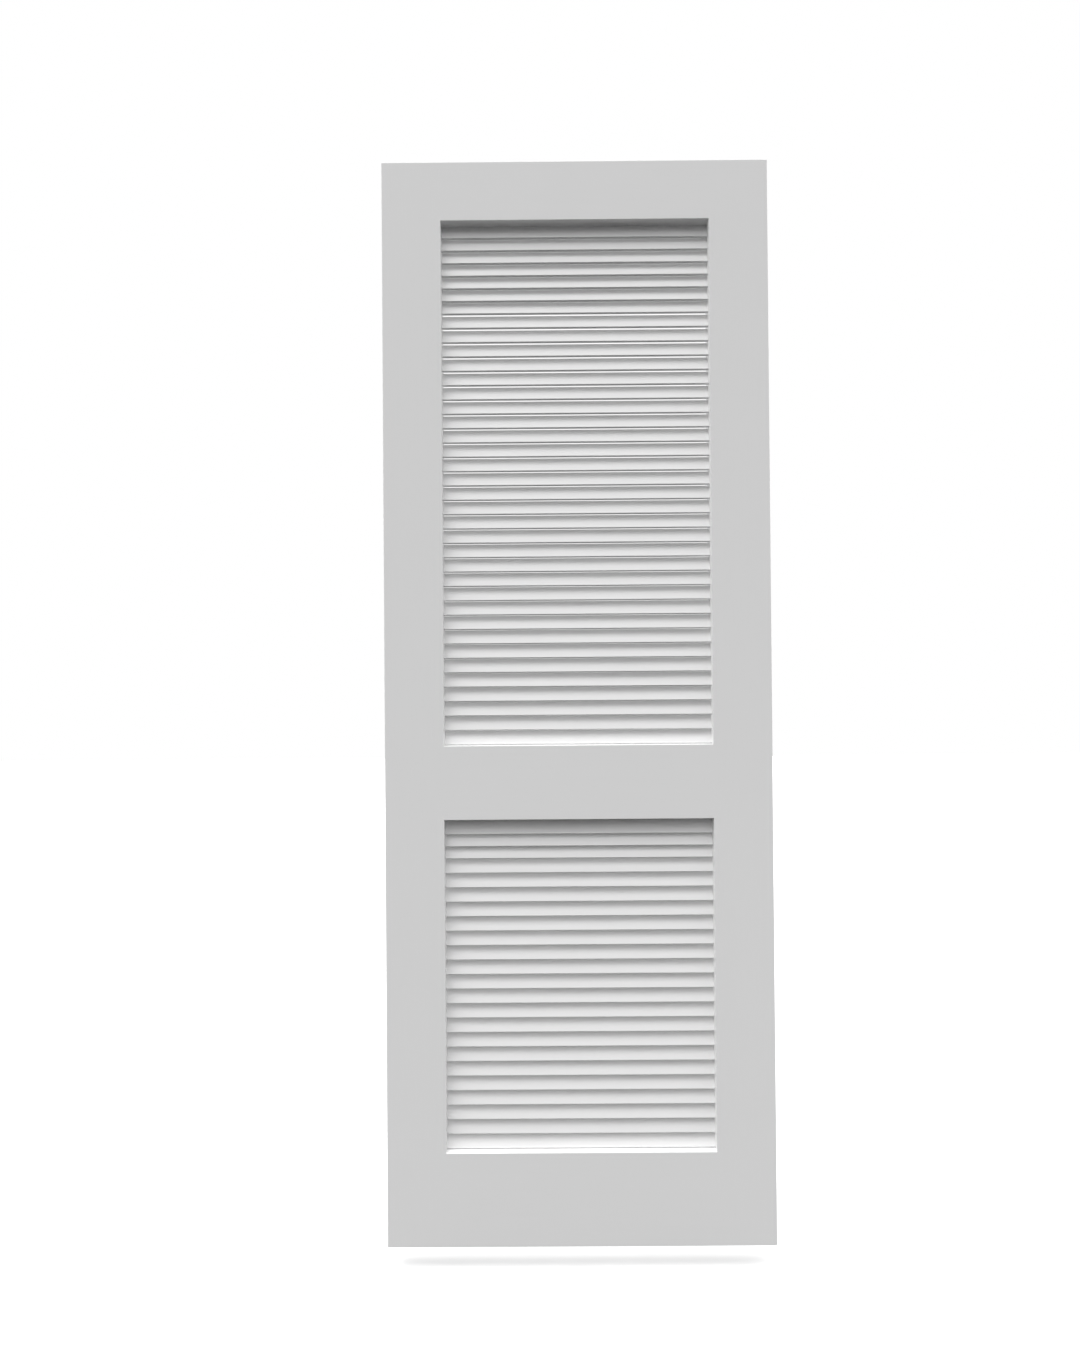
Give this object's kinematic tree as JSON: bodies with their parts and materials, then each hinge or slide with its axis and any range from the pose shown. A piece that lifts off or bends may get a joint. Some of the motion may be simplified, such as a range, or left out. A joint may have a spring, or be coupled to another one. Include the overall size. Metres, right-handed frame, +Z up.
{
  "type": "louvred door",
  "caption": "Painted timber door leaf: two stiles, three rails and two panels of fixed, sloping slats above and below the lock rail.",
  "frame": {"origin": "middle of the left stile's flat outer edge, where hinges go: halfway through the thickness and halfway up the door", "axes": "+Z up; +X from the left stile to the right stile; the front face, onto which the slats shed, faces -Y"},
  "size_m": [0.762, 0.0446, 2.134],
  "materials": {
    "painted_frame": "satin paint",
    "painted_slats": "satin paint"
  },
  "bodies": {
    "root": {"bottom_rail": "painted_frame", "left_stile": "painted_frame", "lock_rail": "painted_frame", "lower_slats_01": "painted_slats", "lower_slats_02": "painted_slats", "lower_slats_03": "painted_slats", "lower_slats_04": "painted_slats", "lower_slats_05": "painted_slats", "lower_slats_06": "painted_slats", "lower_slats_07": "painted_slats", "lower_slats_08": "painted_slats", "lower_slats_09": "painted_slats", "lower_slats_10": "painted_slats", "lower_slats_11": "painted_slats", "lower_slats_12": "painted_slats", "right_stile": "painted_frame", "top_rail": "painted_frame", "upper_slats_01": "painted_slats", "upper_slats_02": "painted_slats", "upper_slats_03": "painted_slats", "upper_slats_04": "painted_slats", "upper_slats_05": "painted_slats", "upper_slats_06": "painted_slats", "upper_slats_07": "painted_slats", "upper_slats_08": "painted_slats", "upper_slats_09": "painted_slats", "upper_slats_10": "painted_slats", "upper_slats_11": "painted_slats", "upper_slats_12": "painted_slats", "upper_slats_13": "painted_slats", "upper_slats_14": "painted_slats", "upper_slats_15": "painted_slats", "upper_slats_16": "painted_slats", "upper_slats_17": "painted_slats", "upper_slats_18": "painted_slats", "upper_slats_19": "painted_slats"}
  },
  "joints": []
}
